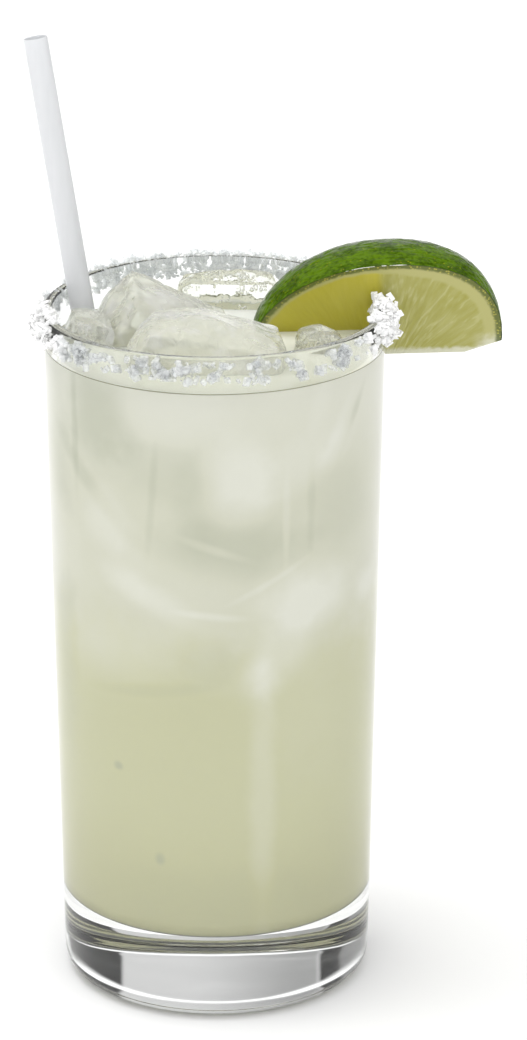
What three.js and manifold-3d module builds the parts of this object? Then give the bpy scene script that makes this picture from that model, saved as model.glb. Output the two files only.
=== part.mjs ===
// An iced margarita in a tall, straight-sided tumbler with a salted rim, a straw and a wedge of lime.
// Millimetres, +Z up. The origin is the centre of the tumbler's foot, on the surface it stands on.
// -Y is the viewer's side, and the lime sits on the +X side of the rim.
import * as THREE from "three";
import { mergeVertices } from "three/addons/utils/BufferGeometryUtils.js";
import Module from "manifold-3d";

const wasm = await Module();
wasm.setup();

// The tumbler
const GLASS_HEIGHT = 152;
const FOOT_RADIUS = 33.5;
const RIM_RADIUS = 36.55;
const RIM_WALL = 1.8;
const FLOOR_WALL = 2.3;
const FLOOR_TOP = 18.5;
const FOOT_ROUND = 4.5;
const FLOOR_CORNER = 4;
const ROUND_SIDES = 56;

// The level of the drink, and the gap between neighbours
const DRINK_LEVEL = 143.6;
const CLEARANCE = 0.3;

// Coarse salt, pressed on the outside of the lip in a ragged band. It is heaped up at two bearings
const SALT = { tries: 270, least: 1.3, most: 2.5, band: 5.8, heap: 1.5, seed: 41 };
const SALT_HEAPS = { left: 192, right: 344 };

// The straw leans on the rim at the back left, with its foot on the tumbler's floor
const STRAW_RADIUS = 2.6;
const STRAW_WALL = 0.35;
const STRAW_LENGTH = 189.5;
const STRAW_BEARING = 157;
const STRAW_LEAN = 9.87;
const STRAW_SIDES = 20;

// The lime that the wedge is cut from, the cuts in degrees from upright, and where the wedge hangs on the rim
const LIME_RADIUS = 21.5;
const LIME_LENGTH = 54.8;
const LIME_SKEW = 0.065;
const LIME_BLUNTNESS = { inner: 2, outer: 2.32 };
const LIME_CUTS = { near: 20.7, far: 31 };
const LIME_CORE = { below: 3.3, halfWidth: 0.7 };
const LIME_END_TRIM = { rise: 2.8, run: 8 };
const LIME_AT = [34.7, 13.5, 140];
const LIME_TURN = 4.9;
const LIME_SIDES = 48;

// The ice that stands out of the drink. size is across each way, round goes from a block at 0 to a ball at 1,
// top is how much the upper end narrows, waves is the depth of the melted hollows, and turn is in degrees
const ICE = {
  peak: { size: [27, 21, 21], round: 0.33, top: 0.04, waves: 0.6, at: [-12.2, 9.5, 140.4], turn: [12, 31, 6] },
  dome: { size: [36, 23, 20], round: 0.62, top: 0.1, waves: 0.6, at: [-1.2, -11.5, 142.3], turn: [5, 9, -3] },
  knob: { size: [11, 12, 14], round: 0.6, top: 0.1, waves: 0.35, at: [21.8, -5, 141.2], turn: [-6, 6, 15] },
  clear: { size: [23, 9, 13], round: 0.45, top: 0.06, waves: 0.4, at: [3, 28.4, 143.8], turn: [6, -2, -4] },
  side: { size: [11, 14, 13], round: 0.45, top: 0.1, waves: 0.35, at: [-27.4, 1, 143.4], turn: [0, 14, 10] },
};
const ICE_STEPS = 5;

const degrees = THREE.MathUtils.degToRad;
const outerRadius = (z) => FOOT_RADIUS + ((RIM_RADIUS - FOOT_RADIUS) * z) / GLASS_HEIGHT;
const wallAt = (z) => THREE.MathUtils.mapLinear(z, FLOOR_TOP, GLASS_HEIGHT, FLOOR_WALL, RIM_WALL);
const innerRadius = (z) => outerRadius(z) - wallAt(z);

// A repeatable stream of random numbers from 0 to 1
function randomFrom(seed) {
  let state = seed;
  return () => {
    state = (state + 0x6d2b79f5) | 0;
    let mixed = Math.imul(state ^ (state >>> 15), 1 | state);
    mixed = (mixed + Math.imul(mixed ^ (mixed >>> 7), 61 | mixed)) ^ mixed;
    return ((mixed ^ (mixed >>> 14)) >>> 0) / 4294967296;
  };
}

// The bare shape of a geometry, with the vertices that meet made one
function welded(geometry) {
  const bare = new THREE.BufferGeometry();
  const loose = geometry.index ? geometry.toNonIndexed() : geometry;
  bare.setAttribute("position", loose.getAttribute("position").clone());
  return mergeVertices(bare, 1e-4);
}

// A closed geometry as a solid that can be cut and joined, without the triangles that vanish at a pole
function solidOf(geometry, matrix = new THREE.Matrix4()) {
  const merged = welded(geometry.clone().applyMatrix4(matrix));
  const corners = merged.index.array;
  const kept = [];
  for (let i = 0; i < corners.length; i += 3) {
    const [a, b, c] = corners.slice(i, i + 3);
    if (a !== b && b !== c && c !== a) kept.push(a, b, c);
  }
  const vertProperties = merged.getAttribute("position").array;
  return new wasm.Manifold(new wasm.Mesh({ numProp: 3, vertProperties, triVerts: new Uint32Array(kept) }));
}

function geometryOf(solid) {
  const { vertProperties, triVerts, numProp } = solid.getMesh();
  const geometry = new THREE.BufferGeometry();
  geometry.setAttribute("position", new THREE.BufferAttribute(new Float32Array(vertProperties), numProp));
  geometry.setIndex(new THREE.BufferAttribute(new Uint32Array(triVerts), 1));
  geometry.computeVertexNormals();
  return geometry;
}

// Drops the crumbs that a join leaves beside a solid
function largestBody(solid) {
  return solid.decompose().reduce((largest, body) => (body.volume() > largest.volume() ? body : largest));
}

function piece(name, geometry, material, { at = [0, 0, 0], turn = [0, 0, 0] } = {}) {
  const mesh = new THREE.Mesh(geometry, new THREE.MeshStandardMaterial(material));
  mesh.name = name;
  mesh.position.set(...at);
  mesh.rotation.set(...turn.map(degrees));
  mesh.updateMatrix();
  return mesh;
}

// Cuts a placed mesh with solids in the part's own frame, and keeps its place
function cutToFit(mesh, { within, without }) {
  let solid = solidOf(mesh.geometry, mesh.matrix);
  if (within) solid = solid.intersect(within);
  for (const other of without) solid = solid.subtract(other);
  mesh.geometry = geometryOf(solid).applyMatrix4(mesh.matrix.clone().invert());
}

// A solid of revolution about +Z from a profile of [radius, height] pairs
function turned(profile, sides = ROUND_SIDES) {
  const points = profile.map(([radius, height]) => new THREE.Vector2(radius, height));
  return new THREE.LatheGeometry(points, sides).rotateX(Math.PI / 2);
}

// Points of a round corner in a profile, from one angle to another in degrees
function corner(radius, height, round, from, to, steps) {
  return Array.from({ length: steps + 1 }, (_, i) => {
    const angle = degrees(THREE.MathUtils.lerp(from, to, i / steps));
    return [radius + round * Math.cos(angle), height + round * Math.sin(angle)];
  });
}

// The tumbler: a thick pressed base with a rounded foot, a wall that thins upwards, and a fire-polished lip
function tumblerProfile() {
  const lip = RIM_WALL / 2;
  const lipHeight = GLASS_HEIGHT - lip;
  const floorCorner = FLOOR_TOP + FLOOR_CORNER;
  return [
    [0, 0],
    ...corner(outerRadius(FOOT_ROUND) - FOOT_ROUND, FOOT_ROUND, FOOT_ROUND, -90, 0, 5),
    ...corner(outerRadius(lipHeight) - lip, lipHeight, lip, 0, 180, 5),
    ...corner(innerRadius(floorCorner) - FLOOR_CORNER, floorCorner, FLOOR_CORNER, 0, -90, 4),
    [0, FLOOR_TOP],
  ];
}

// The inside of the tumbler, drawn in by the clearance, from its floor up to a level
function insideProfile(level) {
  const floorCorner = FLOOR_TOP + FLOOR_CORNER;
  const round = FLOOR_CORNER - CLEARANCE;
  return [
    [0, FLOOR_TOP + CLEARANCE],
    ...corner(innerRadius(floorCorner) - FLOOR_CORNER, floorCorner, round, -90, 0, 4),
    [innerRadius(level) - CLEARANCE, level],
    [0, level],
  ];
}

// The tumbler's wall near the rim with a gap all round, which is the slit that a wedge needs to sit on it
function wallRoom() {
  const low = GLASS_HEIGHT - 40;
  const high = GLASS_HEIGHT + CLEARANCE;
  return turned([
    [innerRadius(low) - CLEARANCE, low],
    [outerRadius(low) + CLEARANCE, low],
    [outerRadius(high) + CLEARANCE, high],
    [innerRadius(high) - CLEARANCE, high],
    [innerRadius(low) - CLEARANCE, low],
  ]);
}

// The straw is a thin tube along +Z. With a gap it is the room that the tube takes up in the drink
function strawGeometry(gap = 0) {
  const outer = STRAW_RADIUS + gap;
  const inner = STRAW_RADIUS - STRAW_WALL - gap;
  const [foot, mouth] = [-gap, STRAW_LENGTH + gap];
  const section = [
    [inner, foot],
    [outer, foot],
    [outer, mouth],
    [inner, mouth],
    [inner, foot],
  ];
  return turned(section, STRAW_SIDES);
}

// Leans the straw outwards at its bearing, so that it just clears the lip and stands just over the floor
function leanOnRim(mesh) {
  const lean = degrees(STRAW_LEAN);
  const foot = FLOOR_TOP + 2 * CLEARANCE + STRAW_RADIUS * Math.sin(lean);
  const reachAtRim = innerRadius(GLASS_HEIGHT) - (STRAW_RADIUS + CLEARANCE) / Math.cos(lean);
  const reachAtFoot = reachAtRim - (GLASS_HEIGHT - foot) * Math.tan(lean);
  const up = new THREE.Vector3(0, 0, 1);
  const outwards = new THREE.Vector3(1, 0, 0).applyAxisAngle(up, degrees(STRAW_BEARING));
  mesh.position.copy(outwards).multiplyScalar(reachAtFoot).setZ(foot);
  mesh.quaternion.setFromUnitVectors(up, outwards.multiplyScalar(Math.tan(lean)).add(up).normalize());
  mesh.updateMatrix();
}

const straw = piece("straw", strawGeometry(), { color: 0xe9ecf0, roughness: 0.35 });
leanOnRim(straw);
const strawRoom = solidOf(strawGeometry(CLEARANCE), straw.matrix);
const strawPath = [
  [0, -STRAW_LENGTH],
  [STRAW_RADIUS + CLEARANCE, -STRAW_LENGTH],
  [STRAW_RADIUS + CLEARANCE, 2 * STRAW_LENGTH],
  [0, 2 * STRAW_LENGTH],
];
const strawBore = solidOf(turned(strawPath, STRAW_SIDES), straw.matrix);

// Half of the lime's section along its length, from the end inside the tumbler to the blunter outer end
function limeProfile(gap) {
  const stations = 18;
  return Array.from({ length: stations + 1 }, (_, i) => {
    const along = -Math.cos((Math.PI * i) / stations);
    const power = along < 0 ? LIME_BLUNTNESS.inner : LIME_BLUNTNESS.outer;
    const share = Math.max(0, 1 - Math.abs(along) ** power) ** (1 / power);
    const radius = share > 0 ? LIME_RADIUS * share * (1 + LIME_SKEW * along) + gap : 0;
    return new THREE.Vector2(radius, along * (LIME_LENGTH / 2 + gap));
  });
}

// A prism through the lime. Its outline is drawn across the first two axes, and it runs along the third
function prismThroughLime(outline, ...axes) {
  const flat = new THREE.Shape(outline.map(([across, up]) => new THREE.Vector2(across, up)));
  const prism = new THREE.ExtrudeGeometry(flat, { depth: 2 * LIME_LENGTH, bevelEnabled: false });
  prism.translate(0, 0, -LIME_LENGTH);
  return solidOf(prism, new THREE.Matrix4().makeBasis(...axes));
}

// A lime along X, cut by two planes that meet just below its axis, and trimmed at the foot of its outer end
function limeWedge(gap = 0) {
  const [x, y, z] = [0, 1, 2].map((i) => new THREE.Vector3().setComponent(i, 1));
  const whole = solidOf(new THREE.LatheGeometry(limeProfile(gap), LIME_SIDES).rotateZ(-Math.PI / 2));
  const rise = 2 * LIME_RADIUS;
  const core = -LIME_CORE.below - gap;
  const side = LIME_CORE.halfWidth + 1.3 * gap;
  const across = [
    [-side, core],
    [side, core],
    [side + rise * Math.tan(degrees(LIME_CUTS.far)), core + rise],
    [-side - rise * Math.tan(degrees(LIME_CUTS.near)), core + rise],
  ];
  const end = LIME_LENGTH / 2 + gap;
  const lengthwise = [
    [core, -end],
    [core, end - LIME_END_TRIM.run],
    [core + LIME_END_TRIM.rise, end],
    [core + rise, end],
    [core + rise, -end],
  ];
  return whole.intersect(prismThroughLime(across, y, z, x)).intersect(prismThroughLime(lengthwise, z, x, y));
}

const limePlace = { at: LIME_AT, turn: [0, 0, LIME_TURN] };
const lime = piece("lime_wedge", geometryOf(limeWedge()), { color: 0x4f7a1c, roughness: 0.35 }, limePlace);
cutToFit(lime, { without: [solidOf(wallRoom())] });
const limeRoom = solidOf(geometryOf(limeWedge(CLEARANCE)), lime.matrix);

// A lump of ice: a block with softened corners, melted into shallow hollows
function iceGeometry({ size, round, top, waves }, gap = 0) {
  const lump = welded(new THREE.BoxGeometry(2, 2, 2, ICE_STEPS, ICE_STEPS, ICE_STEPS));
  const points = lump.getAttribute("position");
  const half = new THREE.Vector3(...size).multiplyScalar(0.5);
  const point = new THREE.Vector3();
  for (let i = 0; i < points.count; i++) {
    point.fromBufferAttribute(points, i);
    const ball = point.clone().normalize().multiplyScalar(1.16);
    point.multiplyScalar(0.97).lerp(ball, round);
    const narrow = 1 - (top * (point.z + 1)) / 2;
    point.multiply(new THREE.Vector3(narrow, narrow, 1)).multiply(half);
    const hollow =
      Math.sin(0.23 * point.x + size[0]) * Math.sin(0.27 * point.y + size[1]) +
      0.6 * Math.sin(0.41 * point.z + size[2]) * Math.sin(0.37 * point.x) +
      0.4 * Math.sin(0.6 * point.y) * Math.sin(0.55 * point.z + size[0]);
    point.addScaledVector(point.clone().normalize(), waves * hollow + gap);
    points.setXYZ(i, point.x, point.y, point.z);
  }
  return lump;
}

// Each lump is kept inside the tumbler, and clear of the straw, the wedge and the lumps before it
const inside = solidOf(turned(insideProfile(GLASS_HEIGHT + 20)));
const wetIce = { color: 0xe3e6de, roughness: 0.08, transparent: true, opacity: 0.6 };
const ice = [];
const iceRooms = [];
for (const [name, lump] of Object.entries(ICE)) {
  const mesh = piece(`ice_${name}`, iceGeometry(lump), wetIce, lump);
  cutToFit(mesh, { within: inside, without: [strawBore, limeRoom, ...iceRooms] });
  ice.push(mesh);
  iceRooms.push(solidOf(iceGeometry(lump, CLEARANCE), mesh.matrix).subtract(strawBore));
}

// The drink fills the tumbler to its level round the ice, the wedge and the straw, and stands in the straw too
const drink = piece("drink", turned(insideProfile(DRINK_LEVEL)), { color: 0xcfd0ad, roughness: 0.15 });
cutToFit(drink, { without: [limeRoom, ...iceRooms, strawRoom] });

// A broken crystal of salt: a box whose corners are drawn in by chance
function saltCrystal(size, random) {
  const [depth, height] = [size * (0.55 + 0.45 * random()), size * (0.7 + 0.5 * random())];
  const crystal = welded(new THREE.BoxGeometry(size, depth, height));
  const corners = crystal.getAttribute("position");
  for (let i = 0; i < corners.count; i++) {
    const kept = Array.from({ length: 3 }, () => 0.72 + 0.5 * random());
    corners.setXYZ(i, corners.getX(i) * kept[0], corners.getY(i) * kept[1], corners.getZ(i) * kept[2]);
  }
  return crystal;
}

// How near a bearing is to another one, as a bell that falls from 1 over a spread in degrees
function nearness(bearing, centre, spread) {
  const apart = ((bearing - centre + 540) % 360) - 180;
  return Math.exp(-((apart / spread) ** 2));
}

const saltHeap = (bearing) => nearness(bearing, SALT_HEAPS.left, 17) + nearness(bearing, SALT_HEAPS.right, 22);

// The share of the band that is covered: even at the back, full in the heaps, and thin with two gaps in front
function saltCover(bearing) {
  const cover = 0.42 + 0.3 * nearness(bearing, 90, 70) + 0.55 * saltHeap(bearing);
  return cover * (1 - 0.8 * nearness(bearing, 260, 4) - 0.8 * nearness(bearing, 301, 4));
}

// The crystals that are clear of what hangs on the rim
function saltCrystals(keepOff) {
  const random = randomFrom(SALT.seed);
  const crystals = [];
  for (let i = 0; i < SALT.tries; i++) {
    const bearing = (i + 0.7 * random()) * (360 / SALT.tries);
    const size = THREE.MathUtils.lerp(SALT.least, SALT.most, random() ** 1.4);
    const height = GLASS_HEIGHT + 0.5 - SALT.band * random() ** 1.5;
    const onTop = height > GLASS_HEIGHT;
    const out = onTop ? -0.7 : 0.2 * size + SALT.heap * saltHeap(bearing) * random();
    const place = new THREE.Matrix4().makeRotationFromEuler(
      new THREE.Euler(Math.PI * random(), Math.PI * random(), Math.PI * random()),
    );
    const crystal = saltCrystal(size, random);
    const radius = outerRadius(height) + out;
    place.setPosition(radius * Math.cos(degrees(bearing)), radius * Math.sin(degrees(bearing)), height);
    const solid = solidOf(crystal, place);
    const kept = random() < saltCover(bearing);
    if (kept && keepOff.every((other) => solid.intersect(other).isEmpty())) crystals.push(solid);
  }
  return crystals;
}

const tumbler = solidOf(turned(tumblerProfile()));
const crystals = saltCrystals([strawBore, limeRoom, ...iceRooms]);
const salted = largestBody(crystals.reduce((whole, crystal) => whole.add(crystal), tumbler));
const clearGlass = { color: 0xe4e8e8, roughness: 0.04, transparent: true, opacity: 0.35 };
const glass = piece("glass", geometryOf(salted), clearGlass);

const margarita = new THREE.Group();
margarita.add(glass, drink, straw, lime, ...ice);
export default margarita;
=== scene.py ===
import math
import random

import bmesh
import bpy
from mathutils import Matrix, Vector, noise


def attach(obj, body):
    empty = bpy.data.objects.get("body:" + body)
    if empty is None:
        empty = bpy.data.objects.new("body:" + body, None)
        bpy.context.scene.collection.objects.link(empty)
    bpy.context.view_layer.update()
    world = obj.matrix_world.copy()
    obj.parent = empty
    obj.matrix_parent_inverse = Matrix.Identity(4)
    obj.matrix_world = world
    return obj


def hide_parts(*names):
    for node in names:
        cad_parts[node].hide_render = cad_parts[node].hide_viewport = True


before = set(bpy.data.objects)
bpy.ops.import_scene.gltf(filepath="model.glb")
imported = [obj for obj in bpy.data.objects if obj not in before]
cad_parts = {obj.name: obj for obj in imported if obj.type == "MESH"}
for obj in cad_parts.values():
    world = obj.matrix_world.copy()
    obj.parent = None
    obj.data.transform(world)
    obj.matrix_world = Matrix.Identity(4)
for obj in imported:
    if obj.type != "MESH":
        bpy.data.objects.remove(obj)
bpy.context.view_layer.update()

# The tumbler: clear soda-lime glass, pressed with a thick base that is ground slightly hollow under
# the foot, with a wall that thins upwards to a lip melted round over a flame. All in millimetres.
GLASS_HEIGHT = 152
GLASS_FOOT = 33.5
GLASS_RIM = 36.55
GLASS_FLOOR = 18.5
WALL_AT_FLOOR = 2.3
WALL_AT_LIP = 1.8
FOOT_HOLLOW = 0.7
FOOT_STANDS = 26.5
FOOT_ROUNDING = 4.5
FLOOR_ROUNDING = 4
LIP_ROUNDING = 0.88
ROUNDING_STEPS = 7
TURNING_STEPS = 128
LONG_EDGE = 12
LONG_EDGE_CUTS = 11
SHARP_FROM = math.radians(32)


def outer_radius(height):
    return GLASS_FOOT + (GLASS_RIM - GLASS_FOOT) * height / GLASS_HEIGHT


def inner_radius(height):
    thin = (height - GLASS_FLOOR) / (GLASS_HEIGHT - GLASS_FLOOR)
    return outer_radius(height) - WALL_AT_FLOOR + (WALL_AT_FLOOR - WALL_AT_LIP) * thin


def turned(profile, steps=TURNING_STEPS):
    """A solid turned about the upright axis, from corners of radius, height and rounding."""
    bm = bmesh.new()
    corners = [bm.verts.new((radius, 0, height)) for radius, height, _ in profile]
    for start, end in zip(corners, corners[1:]):
        bm.edges.new((start, end))
    for corner, (_, _, rounding) in zip(corners, profile):
        if rounding:
            bmesh.ops.bevel(
                bm,
                geom=[corner],
                offset=rounding,
                segments=ROUNDING_STEPS,
                profile=0.5,
                affect="VERTICES",
                material=-1,
            )
    long = [edge for edge in bm.edges if edge.calc_length() > LONG_EDGE]
    bmesh.ops.subdivide_edges(bm, edges=long, cuts=LONG_EDGE_CUTS)
    bmesh.ops.spin(
        bm,
        geom=bm.verts[:] + bm.edges[:],
        cent=(0, 0, 0),
        axis=(0, 0, 1),
        angle=math.tau,
        steps=steps,
        use_merge=True,
    )
    bmesh.ops.remove_doubles(bm, verts=bm.verts, dist=1e-4)
    bmesh.ops.recalc_face_normals(bm, faces=bm.faces)
    return bm


def resized(bm, factor):
    bmesh.ops.scale(bm, verts=bm.verts, vec=(factor, factor, factor))
    return bm


def shown(name, bm, finish, slot, *nodes, smooth=True):
    """A piece of the drink, from a shape in millimetres, that stands for its nodes of the frame."""
    mesh = bpy.data.meshes.new(name)
    resized(bm, 0.001).to_mesh(mesh)
    bm.free()
    for polygon in mesh.polygons:
        polygon.use_smooth = smooth
    if smooth:
        mesh.set_sharp_from_angle(angle=SHARP_FROM)
    piece = bpy.data.objects.new(name, mesh)
    bpy.context.scene.collection.objects.link(piece)
    mesh.materials.append(finish)
    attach(piece, "root")
    if nodes:
        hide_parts(*nodes)
    return piece


def tint(code):
    """An sRGB hex code as the linear colour that a shader takes."""
    parts = [int(code[i : i + 2], 16) / 255 for i in (0, 2, 4)]
    return (*(p / 12.92 if p < 0.04045 else ((p + 0.055) / 1.055) ** 2.4 for p in parts), 1)


class Reading:
    """One output of a node, with Python's signs for sums."""

    def __init__(self, finish, socket):
        self.finish, self.socket = finish, socket

    def math(self, operation, *others):
        sockets = dict(enumerate((self, *others)))
        return self.finish.node("Math", {"operation": operation}, sockets)

    def __add__(self, other):
        return self.math("ADD", other)

    def __mul__(self, other):
        return self.math("MULTIPLY", other)

    def __sub__(self, other):
        return self.math("SUBTRACT", other)

    def __rsub__(self, other):
        return self * -1 + other

    def __truediv__(self, other):
        return self.math("DIVIDE", other)

    def __rtruediv__(self, other):
        return self**-1 * other

    def __pow__(self, other):
        return self.math("POWER", other)

    __radd__, __rmul__ = __add__, __mul__

    def step(self, low, high):
        """0 below low, 1 above high and smooth between, or the reverse where low is the higher."""
        sockets = {"Value": self, "From Min": low, "From Max": high}
        return self.finish.node("MapRange", {"interpolation_type": "SMOOTHSTEP"}, sockets)

    def mix(self, low, high):
        """From the colour low where this is 0 to the colour high where it is 1."""
        sockets = {0: self, 6: low, 7: high}
        return self.finish.node("Mix", {"data_type": "RGBA"}, sockets, output=2)


class Finish:
    """The nodes of a material, or of the light all round."""

    def __init__(self, name, kind=bpy.data.materials, place="Object"):
        self.material = kind.new(name)
        self.material.use_nodes = True
        self.tree = self.material.node_tree
        self.tree.nodes.clear()
        self.place = self.node("TexCoord", output=place)

    def node(self, kind, settings=(), sockets=(), output=0):
        made = self.tree.nodes.new("ShaderNode" + kind)
        for name, value in dict(settings).items():
            setattr(made, name, value)
        for name, value in dict(sockets).items():
            if isinstance(value, Reading):
                self.tree.links.new(value.socket, made.inputs[name])
            else:
                made.inputs[name].default_value = value
        return Reading(self, made.outputs[output]) if made.outputs else None

    def noise(self, size, detail=2.0, place=None):
        """Soft cloudy values about 0.5, with features of a size in millimetres."""
        sockets = {"Vector": place or self.place, "Scale": 1000 / size, "Detail": detail}
        return self.node("TexNoise", {}, sockets)

    def cells(self, size, place=None, feature="F1"):
        """Distances in a pattern of cells of a size in millimetres."""
        sockets = {"Vector": place or self.place, "Scale": 1000 / size}
        return self.node("TexVoronoi", {"feature": feature}, sockets)

    def axes(self, place=None, unit=1000):
        """The three coordinates of a place, a thousand to a metre."""
        place = place or self.place
        return [self.node("SeparateXYZ", {}, {0: place}, output=i) * unit for i in range(3)]

    def relief(self, height, depth):
        """A normal bent by a height of 0 to 1, that is depth millimetres deep."""
        return self.node("Bump", {}, {"Height": height, "Distance": depth / 1000})

    def surface(self, sockets):
        shader = self.node("BsdfPrincipled", {}, sockets)
        self.node("OutputMaterial", {}, {"Surface": shader})
        return self.material


def clear_glass():
    glass = Finish("clear_glass")
    waves = glass.noise(16, 1.0) + 0.25 * glass.noise(5, 1.0)
    return glass.surface(
        {
            "Base Color": tint("fbfcfb"),
            "Roughness": 0.0,
            "IOR": 1.5,
            "Transmission Weight": 1.0,
            "Normal": glass.relief(waves, 0.03),
        }
    )


def tumbler_shape():
    return turned(
        [
            (0, FOOT_HOLLOW, 0),
            (21, FOOT_HOLLOW - 0.1, 3),
            (FOOT_STANDS, 0, 1.5),
            (GLASS_FOOT, 0, FOOT_ROUNDING),
            (GLASS_RIM, GLASS_HEIGHT, LIP_ROUNDING),
            (GLASS_RIM - WALL_AT_LIP, GLASS_HEIGHT, LIP_ROUNDING),
            (inner_radius(GLASS_FLOOR), GLASS_FLOOR, FLOOR_ROUNDING),
            (0, GLASS_FLOOR, 0),
        ]
    )


shown("tumbler", tumbler_shape(), clear_glass(), "glass", "glass")

# The straw: a plain tube of white, slightly see-through plastic, extruded and cut off square. It
# stands on the tumbler's floor and leans on the lip at the back left.
STRAW_RADIUS = 2.6
STRAW_BORE = 2.25
STRAW_LENGTH = 189.45
STRAW_ROUNDING = 0.1
STRAW_STEPS = 48
STRAW_FOOT = (-8.08, 3.41, 19.55)
STRAW_BEARING = math.radians(157)
STRAW_LEAN = math.radians(9.87)


def straw_place():
    hinge = Vector((-math.sin(STRAW_BEARING), math.cos(STRAW_BEARING), 0))
    return Matrix.Translation(STRAW_FOOT) @ Matrix.Rotation(STRAW_LEAN, 4, hinge)


def straw_shape():
    bm = turned(
        [
            (STRAW_BORE, 0, STRAW_ROUNDING),
            (STRAW_RADIUS, 0, STRAW_ROUNDING),
            (STRAW_RADIUS, STRAW_LENGTH, STRAW_ROUNDING),
            (STRAW_BORE, STRAW_LENGTH, STRAW_ROUNDING),
            (STRAW_BORE, 0, 0),
        ],
        STRAW_STEPS,
    )
    bm.transform(straw_place())
    return bm


def white_plastic():
    plastic = Finish("white_plastic")
    lengthwise = {"Vector": plastic.place, "Scale": (1, 1, 30)}
    drawn_out = plastic.node("Mapping", {"vector_type": "TEXTURE"}, lengthwise)
    streaks = plastic.noise(1.2, 2.0, drawn_out)
    return plastic.surface(
        {
            "Base Color": streaks.mix(tint("e6e8ea"), tint("f1f2f4")),
            "Roughness": 0.35,
            "IOR": 1.49,
            "Transmission Weight": 0.3,
            "Normal": plastic.relief(streaks, 0.02),
        }
    )


shown("straw_tube", straw_shape(), white_plastic(), "straw", "straw")

# The wedge of lime: cut lengthwise from a whole fruit, with a slit in its flesh that sits over the
# lip. Glossy pored rind, a band of pale pith, and pulp in long juice cells.
LIME_RADIUS = 21.45
LIME_HALF = 27.2
LIME_SKEW = 0.065
LIME_BLUNT = 2.32
LIME_TURN = math.radians(4.9)
LIME_PLACE = Matrix.Translation((34.7, 13.5, 140)) @ Matrix.Rotation(LIME_TURN, 4, "Z")
LIME_EDGE = -3.3
LIME_NEAR_CUT = math.radians(20.7)
LIME_FAR_CUT = math.radians(31)
RIND_STATIONS = 44
RIND_STEPS = 112
RIND_LUMPS = 0.14
RIND_SHRUNK = 0.05
PITH_SCALE = 22
FAN_MIDDLE = (1, -12)
SLIT_FOOT = 112
SLIT_TOP = 152.1
SLIT_GAP = 0.08


def lime_shape():
    bm = bmesh.new()
    last = None
    for i in range(RIND_STATIONS + 1):
        along = -math.cos(math.pi * i / RIND_STATIONS)
        power = 2 if along < 0 else LIME_BLUNT
        share = max(0, 1 - abs(along) ** power) ** (1 / power)
        radius = LIME_RADIUS * share * (1 + LIME_SKEW * along)
        point = bm.verts.new((along * LIME_HALF, 0, radius))
        if last:
            bm.edges.new((last, point))
        last = point
    bmesh.ops.spin(
        bm,
        geom=bm.verts[:] + bm.edges[:],
        cent=(0, 0, 0),
        axis=(1, 0, 0),
        angle=math.tau,
        steps=RIND_STEPS,
        use_merge=True,
    )
    bmesh.ops.remove_doubles(bm, verts=bm.verts, dist=1e-3)
    bmesh.ops.recalc_face_normals(bm, faces=bm.faces)
    bm.normal_update()
    for vert in bm.verts:
        vert.co += vert.normal * (RIND_LUMPS * noise.noise(vert.co * 0.55) - RIND_SHRUNK)
    near = (0, -math.cos(LIME_NEAR_CUT), -math.sin(LIME_NEAR_CUT))
    far = (0, math.cos(LIME_FAR_CUT), -math.sin(LIME_FAR_CUT))
    cuts = [
        ((0, -0.7, LIME_EDGE), near),
        ((0, 0.7, LIME_EDGE), far),
        ((0, 0, LIME_EDGE), (0, 0, -1)),
        ((LIME_HALF - 8, 0, LIME_EDGE), (2.8, 0, -8)),
    ]
    for point, outwards in cuts:
        cut = bmesh.ops.bisect_plane(
            bm,
            geom=bm.verts[:] + bm.edges[:] + bm.faces[:],
            plane_co=point,
            plane_no=outwards,
            clear_outer=True,
        )
        edges = [e for e in cut["geom_cut"] if isinstance(e, bmesh.types.BMEdge)]
        for face in bmesh.ops.contextual_create(bm, geom=edges)["faces"]:
            face.material_index = 1
    bmesh.ops.triangulate(bm, faces=[f for f in bm.faces if len(f.verts) > 4])
    bm.transform(LIME_PLACE)
    return bm


def lime_axes(finish):
    """The lime's own axes: x along it, y through the wedge and z out from the edge."""
    place = {
        "Vector": finish.place,
        "Location": tuple(LIME_PLACE.translation * 0.001),
        "Rotation": (0, 0, LIME_TURN),
    }
    return finish.axes(finish.node("Mapping", {"vector_type": "TEXTURE"}, place))


def lime_depth(x, y, z):
    """How deep a point lies under the skin of the whole lime, in millimetres."""
    along = x / LIME_HALF
    across = (y * y + z * z) ** 0.5 / (LIME_RADIUS * (1 + LIME_SKEW * along))
    power = along.step(-0.01, 0.01) * (LIME_BLUNT - 2) + 2
    share = (along.math("ABSOLUTE") ** power + across**power) ** (1 / power)
    return (1 - share) * PITH_SCALE


def lime_rind():
    rind = Finish("lime_rind")
    x, y, z = lime_axes(rind)
    patches = rind.noise(5, 3.0)
    fine = rind.noise(0.9, 3.0)
    greens = (0.5 * patches + 0.5 * fine).step(0.38, 0.62).mix(tint("344c02"), tint("54720b"))
    freckles = rind.cells(0.9).step(0.26, 0.12) * rind.noise(3).step(0.44, 0.6)
    lengthwise = rind.node("CombineXYZ", {}, {0: x * 0.00035, 1: y * 0.001, 2: z * 0.001})
    waxy = rind.noise(1.0, 3.0, lengthwise).step(0.47, 0.57) * y.step(-5, 3)
    pores = rind.cells(1.3, lengthwise, "SMOOTH_F1").step(0.0, 0.6)
    return rind.surface(
        {
            "Base Color": (freckles * 0.7).mix(greens, tint("91901c")),
            "Roughness": 0.3,
            "Specular IOR Level": 0.03,
            "Coat Weight": waxy,
            "Coat Roughness": 0.14,
            "Normal": rind.relief(pores * 0.5 + rind.noise(1.5, 3.0, lengthwise), 0.9),
        }
    )


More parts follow.
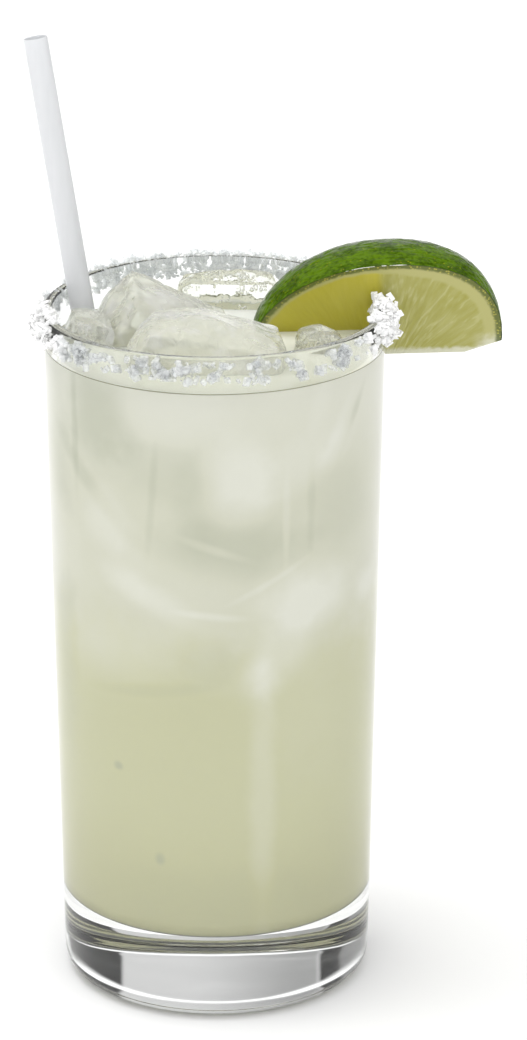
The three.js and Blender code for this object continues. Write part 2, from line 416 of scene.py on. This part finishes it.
def lime_flesh():
    flesh = Finish("lime_flesh")
    x, y, z = lime_axes(flesh)
    depth = lime_depth(x, y, z)
    # The juice cells spread like a fan from a point under the edge.
    sideways, upwards = x - FAN_MIDDLE[0], z - FAN_MIDDLE[1]
    angle = sideways.math("ARCTAN2", upwards)
    out = (sideways * sideways + upwards * upwards) ** 0.5
    fan = flesh.node("CombineXYZ", {}, {0: angle * 0.02, 1: out * 0.00016, 2: y * 0.0003})
    cells = flesh.cells(1.0, fan)
    streaks = flesh.noise(0.9, 3.0, fan)
    between = flesh.cells(2.1, fan, "DISTANCE_TO_EDGE").step(0.09, 0.0)
    walls = between * streaks.step(0.45, 0.6)
    wet = flesh.noise(9, 2.0).step(0.35, 0.7)
    # The pulp is deeper in colour left of the slit, where it stands inside the tumbler.
    inside = (x + 1.5 * (flesh.noise(5) - 0.5)).step(1.6, -1.2)
    right_pulp = (streaks.step(0.3, 0.7) * 0.6 + wet * 0.3).mix(tint("9a9746"), tint("aaa768"))
    left_pulp = (streaks.step(0.2, 0.8) * 0.3 + wet * 0.3).mix(tint("b3aa36"), tint("bcb44c"))
    pulp = inside.mix((walls * 0.35).mix(right_pulp, tint("c3c28e")), left_pulp)
    # The pith is thicker to the right, and the cut edges are torn and moist.
    thick = x.step(-8, 14) * 1.3 + 1.5
    pith = (depth - thick + 1.2 * (flesh.noise(4) - 0.5)).step(0.8, -0.1)
    ragged = flesh.noise(1.2, 3.0)
    low_edge = (z + 1.6 * (ragged - 0.5)).step(-1.4, -2.7)
    torn = low_edge + x.step(20, 25) * (z + 3 * ragged).step(4, 0)
    moist = (torn * 0.7).mix(pith.mix(pulp, tint("adaa6c")), tint("d6d6c6"))
    # The cut through the rind shows oil glands, and its outer edge is green with a painted
    # highlight along it.
    glands = flesh.cells(0.7).step(0.45, 0.15)
    cut_rind = (depth + 0.6 * (ragged - 0.5)).step(1.5, 0.8)
    green = (depth + 0.3 * (ragged - 0.5)).step(0.3, 0.12)
    painted_glint = green * flesh.noise(1.4).step(0.46, 0.52) * x.step(-9, -7) * x.step(6, 4)
    skin = (cut_rind * 0.85).mix(moist, glands.mix(tint("46540a"), tint("a29c34")))
    return flesh.surface(
        {
            "Base Color": painted_glint.mix(green.mix(skin, tint("2c3d02")), tint("f6f6ee")),
            "Roughness": 0.3,
            "Specular IOR Level": 0.35,
            "Normal": flesh.relief(cells * (1 - pith) * 0.5 + streaks * 0.3, 0.25),
        }
    )


def cut_away(piece, tool_shape, name):
    """Cuts a solid in millimetres out of a piece, and leaves nothing of the tool."""
    mesh = bpy.data.meshes.new(name)
    resized(tool_shape, 0.001).to_mesh(mesh)
    tool_shape.free()
    for finish in piece.data.materials:
        mesh.materials.append(finish)
    tool = bpy.data.objects.new(name, mesh)
    bpy.context.scene.collection.objects.link(tool)
    cut = piece.modifiers.new(name, "BOOLEAN")
    cut.operation = "DIFFERENCE"
    cut.solver = "EXACT"
    cut.object = tool
    view = bpy.context.evaluated_depsgraph_get()
    made = bpy.data.meshes.new_from_object(piece.evaluated_get(view))
    piece.modifiers.clear()
    made.set_sharp_from_angle(angle=SHARP_FROM)
    piece.data = made
    bpy.data.objects.remove(tool)


def slit_shape():
    bm = turned(
        [
            (inner_radius(SLIT_FOOT) - SLIT_GAP, SLIT_FOOT, 0),
            (outer_radius(SLIT_FOOT) + SLIT_GAP, SLIT_FOOT, 0),
            (outer_radius(SLIT_TOP) + SLIT_GAP, SLIT_TOP, 0),
            (inner_radius(SLIT_TOP) - SLIT_GAP, SLIT_TOP, 0),
            (inner_radius(SLIT_FOOT) - SLIT_GAP, SLIT_FOOT, 0),
        ]
    )
    for face in bm.faces:
        face.material_index = 1
    return bm


lime = shown("lime_wedge_cut", lime_shape(), lime_rind(), "lime", "lime_wedge")
lime.data.materials.append(lime_flesh())
cut_away(lime, slit_shape(), "slit")

# The ice: lumps of frozen water, half melted, clear at the skin and milky with bubbles inside. They
# float in the drink, so that only their tops stand out of it.
ICE_MILK = {"peak": 0.3, "dome": 0.3, "knob": 0.16, "clear": 0.02, "side": 0.25}
ICE_GRID = 0.5
ICE_SMOOTHINGS = 4
ICE_MELTED = 0.3
ICE_HOLLOWS = 0.45
ICE_SKIN = 0.12


def ice_shape(node, grow):
    """The lump of the frame, melted smooth with shallow hollows, in millimetres."""
    bm = bmesh.new()
    bm.from_mesh(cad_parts[node].data)
    resized(bm, 1000)
    bmesh.ops.remove_doubles(bm, verts=bm.verts, dist=1e-3)
    mesh = bpy.data.meshes.new("melting")
    bm.to_mesh(mesh)
    bm.free()
    lump = bpy.data.objects.new("melting", mesh)
    bpy.context.scene.collection.objects.link(lump)
    remesh = lump.modifiers.new("even", "REMESH")
    remesh.mode = "VOXEL"
    remesh.voxel_size = ICE_GRID
    view = bpy.context.evaluated_depsgraph_get()
    bm = bmesh.new()
    bm.from_object(lump, view)
    bpy.data.objects.remove(lump)
    every_way = {"use_axis_x": True, "use_axis_y": True, "use_axis_z": True}
    for _ in range(ICE_SMOOTHINGS):
        bmesh.ops.smooth_vert(bm, verts=bm.verts, factor=0.5, **every_way)
    bm.normal_update()
    for vert in bm.verts:
        hollow = noise.noise(vert.co * 0.2) + 0.45 * noise.noise(vert.co * 0.5)
        vert.co += vert.normal * (grow - ICE_MELTED + ICE_HOLLOWS * hollow)
    return bm


def melting_ice(milk):
    ice = Finish(f"melting_ice_{round(100 * milk)}")
    frosted = ice.noise(7, 3.0).step(0.5, 0.66)
    melted = ice.cells(4.5, None, "SMOOTH_F1") + 0.35 * ice.noise(2.2, 3.0)
    edges = ice.cells(6, None, "DISTANCE_TO_EDGE").step(0.0, 0.05)
    cracks = edges * ice.noise(9).step(0.45, 0.55)
    return ice.surface(
        {
            "Base Color": frosted.mix(tint("f6f7ef"), tint("ffffff")),
            "Roughness": 0.05,
            "IOR": 1.31,
            "Transmission Weight": 1 - milk,
            "Normal": ice.relief(melted + (0.3 * milk) * cracks, 0.9),
        }
    )


for name, milk in ICE_MILK.items():
    lump = ice_shape(f"ice_{name}", ICE_SKIN)
    shown(f"ice_{name}_lump", lump, melting_ice(milk), "ice", f"ice_{name}")

# The bubbles: air that was left in the ice as it froze, in clusters under the skin of each lump.
# Each is a small round hollow that shines where the light can't leave the ice.
BUBBLES_IN_A_LUMP = 150
BUBBLE_LOWEST = 142
BUBBLE_LEAST = 0.14
BUBBLE_SPREAD = 0.4
BUBBLE_COVER = 0.6
BUBBLE_SINKS = 1.4


def bubble_shape():
    rng = random.Random(5)
    bubble = bmesh.new()
    bmesh.ops.create_icosphere(bubble, subdivisions=2, radius=1)
    sphere = bpy.data.meshes.new("bubble")
    bubble.to_mesh(sphere)
    bubble.free()
    bm = bmesh.new()
    for name in ICE_MILK:
        lump = ice_shape(f"ice_{name}", 0)
        lump.normal_update()
        above = [vert for vert in lump.verts if vert.co.z > BUBBLE_LOWEST]
        clustered = [vert for vert in above if noise.noise(vert.co * 0.22) > 0.14]
        for vert in rng.sample(clustered, min(BUBBLES_IN_A_LUMP, len(clustered))):
            size = BUBBLE_LEAST + BUBBLE_SPREAD * rng.random() ** 3
            middle = vert.co - vert.normal * (size + BUBBLE_COVER + BUBBLE_SINKS * rng.random())
            air = sphere.copy()
            air.transform(Matrix.Translation(middle) @ Matrix.Scale(size, 4))
            bm.from_mesh(air)
            bpy.data.meshes.remove(air)
        lump.free()
    return bm


def trapped_air():
    air = Finish("trapped_air")
    return air.surface(
        {
            "Base Color": air.noise(0.5).mix(tint("fcfcfa"), tint("ffffff")),
            "Roughness": 0.0,
            "IOR": 0.76,
            "Transmission Weight": 1.0,
        }
    )


shown("ice_bubbles", bubble_shape(), trapped_air(), "ice")

# The drink: tequila, orange liqueur and fresh lime juice, cloudy and pale, shaken with crushed ice.
# It wets the wall and climbs it a little. The lumps sunk in it show as paler clouds near the wall,
# among painted light and shade.
DRINK_LEVEL = 143.1
DRINK_WETS = 0.13
DRINK_CLIMBS = [(-0.02, 0.6), (0.25, 0.35), (0.8, 0.12), (1.8, 0.03)]
ICE_ROOM = -0.1
CLOUD_DEEP = 14
CLOUD_RAGGED = 0.7
# Each cloud: its bearing, height, half width, half height, turn and how much paler it is, or
# darker where that is less than 0. Bearings and turns are in degrees.
# Pale clouds are sunk ice and painted light, dark ones are painted shade, and the smallest dark
# spots are bits of pulp.
CLOUDS_OF_ICE_AND_PAINTED_LIGHT = [
    (226, 136, 10, 11, 0, -0.5),
    (203, 100, 5, 46, 0, -0.3),
    (232, 57, 1.2, 1, 0, -0.6),
    (249, 37, 1.2, 1.5, 0, -0.6),
    (318, 133, 1.6, 8, 32, 0.4),
    (325, 133, 1.3, 8.5, 30, -0.35),
    (296, 115, 0.9, 11, 0, 0.3),
    (214, 131, 1.2, 14, 0, -0.3),
    (270, 109, 7.5, 1.1, 20, 0.3),
    (306, 118, 1.1, 12, 0, -0.2),
    (248, 119, 1, 13.4, 5, -0.2),
    (246, 76, 14.5, 1.6, -8, -0.2),
    (224, 85, 13.9, 7, 0, 0.15),
    (258, 139, 12.2, 6.4, 0, 0.5),
    (251, 126, 11.9, 7, 10, -0.21),
    (279, 125, 7.5, 10, 0, 0.9),
    (300, 127, 15, 5.8, -22, 0.5),
    (318, 129, 6.7, 3.2, -35, 0.4),
    (309, 139, 2.5, 6.4, 15, 0.32),
    (223, 119, 15.5, 2.4, 42, -0.36),
    (228, 113, 6.1, 7.1, -20, 0.64),
    (239, 105, 5.3, 9.2, -20, 0.28),
    (244, 98, 11.4, 3.6, 24, 0.64),
    (269, 94, 7.4, 1, 6, 0.56),
    (261, 98, 10.1, 10.9, 0, 0.16),
    (278, 109, 16.4, 7, 0, -0.42),
    (264, 120, 4.9, 13.4, 0, -0.18),
    (306, 96, 11.5, 7.6, 0, 0.95),
    (290, 101, 9.6, 0.8, -27, 0.4),
    (297, 87, 6.6, 11.5, 35, 0.48),
    (286, 79, 4.8, 5.5, 35, 0.4),
    (288, 52, 3.2, 36, 0, 0.3),
    (267, 83, 8, 6, 0, -0.18),
    (307, 68, 11.6, 16.8, 0, 0.12),
    (320, 114, 10.4, 10.9, 0, -0.21),
    (337, 94, 4.6, 4, 0, 0.72),
    (234, 82, 22.3, 8.3, -8, 0.16),
    (272, 28, 51.5, 7.9, 0, -0.15),
    (20, 112, 16.8, 10.8, 20, 0.64),
    (48, 90, 10.8, 15.6, 0, 0.48),
    (75, 120, 14.4, 7.2, -25, -0.3),
    (95, 104, 18, 9.6, 15, 0.72),
    (128, 84, 13.2, 14.4, 0, 0.4),
    (150, 116, 15.6, 7.2, 25, 0.64),
    (172, 96, 9.6, 14.4, 0, -0.24),
    (196, 104, 9.6, 10.8, -20, 0.48),
    (2, 74, 10.8, 19.2, 0, -0.18),
    (110, 60, 4.8, 26.4, 0, 0.28),
]


def drink_shape():
    wall = inner_radius(DRINK_LEVEL) + DRINK_WETS
    floor = GLASS_FLOOR - DRINK_WETS
    edge = [(wall - inwards, DRINK_LEVEL + climb, 0) for inwards, climb in DRINK_CLIMBS]
    corner = (inner_radius(GLASS_FLOOR) + DRINK_WETS, floor, FLOOR_ROUNDING)
    return turned([(0, floor, 0), corner, *edge, (0, DRINK_LEVEL, 0)])


def clouds_of_ice_and_painted_light(drink, wisps):
    """How much paler or darker the drink is at a point, for sunk ice, bits of pulp, and painted
    light and shade.
    """
    paler = 0
    for bearing, height, wide, high, turn, share in CLOUDS_OF_ICE_AND_PAINTED_LIGHT:
        angle = math.radians(bearing)
        radius = inner_radius(height)
        middle = (radius * math.cos(angle) / 1000, radius * math.sin(angle) / 1000, height / 1000)
        cloud = {
            "Vector": drink.place,
            "Location": middle,
            "Rotation": (0, math.radians(turn), angle + math.pi / 2),
            "Scale": (wide / 1000, CLOUD_DEEP / 1000, high / 1000),
        }
        from_middle = drink.node("Mapping", {"vector_type": "TEXTURE"}, cloud)
        far = drink.node("VectorMath", {"operation": "LENGTH"}, {0: from_middle}, output="Value")
        paler = (far + CLOUD_RAGGED * (wisps - 0.5)).step(1.4, 0.25) * share + paler
    return paler


def cloudy_drink():
    drink = Finish("cloudy_drink")
    x, y, z = drink.axes()
    wisps = drink.noise(7, 3.0)
    paler = clouds_of_ice_and_painted_light(drink, wisps)
    # Ice fills the upper half, and the lower half is plain and greener.
    upper = z.step(118, 140).mix(tint("efefdd"), tint("f6f6e8"))
    lower = z.step(52, 20).mix(tint("e3e3bf"), tint("d9d8b1"))
    side = (z + 16 * (wisps - 0.5)).step(74, 98).mix(lower, upper)
    cloudy = (paler * -1).mix(paler.mix(side, tint("fdfdf2")), tint("c6cab2"))
    # The open top, painted lighter towards the back, and a thin line of painted shade where it
    # meets
    # the wall, and the underside on the floor, grey with painted shade.
    inwards = (x * x + y * y) ** 0.5
    top = z.step(DRINK_LEVEL - 0.3, DRINK_LEVEL - 0.1) * inwards.step(33.9, 33.2)
    top_painted_lighter = y.step(-22, 8).mix(tint("cccdbc"), tint("e8eae2"))
    meniscus_painted_shade = z.step(DRINK_LEVEL + 0.36, DRINK_LEVEL + 0.46)
    underside_painted_shade = z.step(GLASS_FLOOR + 0.9, GLASS_FLOOR + 0.3)
    edged = meniscus_painted_shade.mix(top.mix(cloudy, top_painted_lighter), tint("8f906c"))
    return drink.surface(
        {
            "Base Color": underside_painted_shade.mix(edged, tint("9c9d98")),
            "Roughness": 0.08,
            "IOR": 1.34,
            "Normal": drink.relief(drink.noise(6, 2.0), 0.15),
        }
    )


drink = shown("drink_body", drink_shape(), cloudy_drink(), "drink", "drink")
for name in ICE_MILK:
    cut_away(drink, ice_shape(f"ice_{name}", ICE_ROOM), f"room_{name}")

# The salt: coarse crystals that stick to the lip, which was wetted with lime and pressed into them.
# The ring is ragged, thin in front, and heaped at the left and beside the lime.
SALT_TRIES = 4800
SALT_BAND = 5.8
SALT_OVER_LIP = 1.0
SALT_LEFT = (192, 17)
SALT_BESIDE_LIME = (352, 19)
SALT_BEHIND = (90, 75)
SALT_REACH = 38.0
HEAP_REACH = 2.3
GRAIN_LEAST = 0.5
GRAIN_CORNERS = 0.13
FLAKE_THICK = 0.3
FLAKE_WIDER = 1.35
LIME_BEARING = 4
LIME_COVERS = 11


def near(bearing, centre, spread):
    """1 at a bearing on the rim and less to both sides of it."""
    apart = (bearing - centre + 540) % 360 - 180
    return math.exp(-((apart / spread) ** 2))


def crystal(rng, flat):
    """A broken grain: a cube with its corners cut off and drawn in by chance, or a flake of one."""
    bm = bmesh.new()
    bmesh.ops.create_cube(bm, size=1)
    for vert in bm.verts:
        vert.co *= 0.7 + 0.4 * rng.random()
        vert.co.z *= flat
    bmesh.ops.bevel(
        bm,
        geom=bm.edges[:],
        offset=GRAIN_CORNERS * flat,
        segments=1,
        profile=0.5,
        affect="EDGES",
        material=-1,
    )
    mesh = bpy.data.meshes.new("grain")
    bm.to_mesh(mesh)
    bm.free()
    return mesh


def salt_shape():
    rng = random.Random(17)
    grains = [crystal(rng, 1) for _ in range(6)]
    flakes = [crystal(rng, FLAKE_THICK) for _ in range(6)]
    straw_runs = straw_place().col[2].xyz
    bm = bmesh.new()
    for _ in range(SALT_TRIES):
        bearing = 360 * rng.random()
        heap = min(1, near(bearing, *SALT_LEFT) + near(bearing, *SALT_BESIDE_LIME))
        behind = near(bearing, *SALT_BEHIND)
        bare = (1 - heap) * (1 - behind)
        band = SALT_BAND - 1.6 * bare
        height = GLASS_HEIGHT + SALT_OVER_LIP - 2.2 * bare - band * rng.random()
        patches = noise.noise(Vector((bearing / 5.5, height / 3.2, 3)))
        clump = patches + 0.7 * (rng.random() - 0.5)
        if bare > 0.3 and clump < 0.12 or rng.random() > 0.45 + 0.55 * heap + 0.4 * behind:
            continue
        size = GRAIN_LEAST + (0.9 + 1.0 * bare) * rng.random() ** 1.8
        out = 0.62 * size + HEAP_REACH * heap * rng.random() ** 1.4
        if height > GLASS_HEIGHT - 0.2:
            out -= 0.9 + (0.8 + 1.2 * heap) * rng.random()
            height = max(height, GLASS_HEIGHT + 0.45 * size)
        from_lime = abs(bearing - 360 * (bearing > 180) - LIME_BEARING)
        if from_lime < LIME_COVERS and rng.random() < 0.35:
            out = inner_radius(height) - outer_radius(height) - 0.3 * size
        angle = math.radians(bearing)
        widest = SALT_REACH + HEAP_REACH * heap - 0.55 * size
        radius = min(outer_radius(height) + out, widest)
        middle = Vector((radius * math.cos(angle), radius * math.sin(angle), height))
        from_straw = (middle - Vector(STRAW_FOOT)).cross(straw_runs).length
        if from_straw < STRAW_RADIUS + size:
            continue
        rolled = rng.random() * math.tau
        axis = Vector([rng.random() - 0.5 for _ in range(3)])
        turn = Matrix.Rotation(rolled, 4, axis)
        wide = size * (0.6 + 0.4 * rng.random())
        high = size * (0.7 + 0.5 * rng.random())
        stretch = Matrix.Diagonal((size, wide, high, 1))
        flaky = rng.random() < 0.25 + 0.65 * heap
        if flaky:
            stretch = stretch @ Matrix.Scale(FLAKE_WIDER, 4)
        grain = rng.choice(flakes if flaky else grains).copy()
        grain.transform(Matrix.Translation(middle) @ turn @ stretch)
        bm.from_mesh(grain)
        bpy.data.meshes.remove(grain)
    return bm


def salt_grain():
    salt = Finish("salt_crystals")
    x, y, _ = salt.axes()
    cloudy = salt.noise(1.6, 2.0).step(0.35, 0.68)
    dry = x.math("ABSOLUTE").step(29, 34) * y.step(12, 2)
    # Behind the drink the salt glows a little, painted light that stands for the light that comes
    # through it from the back.
    behind = y.step(5, 15)
    moist = cloudy.mix(tint("d0d4d5"), tint("eceeee"))
    return salt.surface(
        {
            "Base Color": dry.mix(moist, tint("fefefe")),
            "Roughness": 0.15,
            "IOR": 1.54,
            "Alpha": 0.26 + 0.24 * cloudy + dry * 0.35 + behind * 0.5,
            "Emission Color": behind.mix(tint("000000"), tint("ffffff")),
            "Emission Strength": 0.17,
            "Normal": salt.relief(cloudy, 0.08),
        }
    )


shown("salt_ring", salt_shape(), salt_grain(), "salt", "glass", smooth=False)

# The studio: a white paper floor under light from all round, with dark cards low down at the right
# and the left, a softbox above and to the left, and the camera above the rim looking down.
FLOOR_RADIUS = 4
FLOOR_STEPS = 96
ROOM_STRENGTH = 1.84
CARDS_TAKE = 0.985
SOFTBOX_SIZE = (0.9, 0.7)
SOFTBOX_PLACE = (-0.5, 0.15, 1.2)
SOFTBOX_WATTS = 4.5
LENS_MM = 176.3
CAMERA_PLACE = (0.010399, -1.0330, 0.47927)
CAMERA_PITCH = math.radians(20.002)

floor_shape = bmesh.new()
bmesh.ops.create_circle(floor_shape, cap_ends=True, segments=FLOOR_STEPS, radius=FLOOR_RADIUS)
floor_mesh = bpy.data.meshes.new("floor")
floor_shape.to_mesh(floor_mesh)
floor_shape.free()
floor = bpy.data.objects.new("floor", floor_mesh)
bpy.context.scene.collection.objects.link(floor)
paper = {"Base Color": (0.95, 0.95, 0.95, 1), "Roughness": 0.9, "Specular IOR Level": 0.1}
floor_mesh.materials.append(Finish("white_paper").surface(paper))

# Bearings in degrees run from the right, 0, by way of the back, 90, to the left, 180.
studio = Finish("studio_light", bpy.data.worlds, "Generated")
rightwards, backwards, up = studio.axes(unit=1)
bearing = backwards.math("ARCTAN2", rightwards) * math.degrees(1)
low_down = up.step(0.5, 0.42)
right_card = bearing.step(8, 22) * bearing.step(63, 59)
black_card = bearing.step(122, 126) * bearing.step(139, 134)
grey_card = 0.84 * bearing.step(134, 139) * bearing.step(176, 166)
cards = (right_card + black_card + grey_card) * low_down
grey_back = (0.55 + 0.2 * bearing.step(80, 118)) * bearing.step(59, 63) * bearing.step(126, 122)
high_back = 0.5 * up.step(0.5, 0.58) * up.step(0.93, 0.86) * backwards.step(0.0, 0.25)
front = 0.1 * backwards.step(0.1, -0.5)
left_over = (1 - CARDS_TAKE * cards) * (1 - low_down * grey_back) * (1 - high_back) * (1 - front)
glow = studio.node("Background", {}, {"Strength": left_over * ROOM_STRENGTH})
studio.node("OutputWorld", {}, {"Surface": glow})
bpy.context.scene.world = studio.material

lamp = bpy.data.lights.new("softbox", "AREA")
lamp.shape = "RECTANGLE"
lamp.size, lamp.size_y = SOFTBOX_SIZE
lamp.energy = SOFTBOX_WATTS
softbox = bpy.data.objects.new("softbox", lamp)
softbox.location = SOFTBOX_PLACE
aim = Vector((0, 0, 0.12)) - softbox.location
softbox.rotation_euler = aim.to_track_quat("-Z", "Y").to_euler()
bpy.context.scene.collection.objects.link(softbox)

lens = bpy.data.cameras.new("camera")
lens.lens = LENS_MM
lens.sensor_width = 36
lens.clip_end = 20
camera = bpy.data.objects.new("camera", lens)
camera.location = CAMERA_PLACE
camera.rotation_euler = (math.radians(90) - CAMERA_PITCH, 0, 0)
bpy.context.scene.collection.objects.link(camera)
bpy.context.scene.camera = camera
bpy.context.scene.view_settings.view_transform = "Standard"
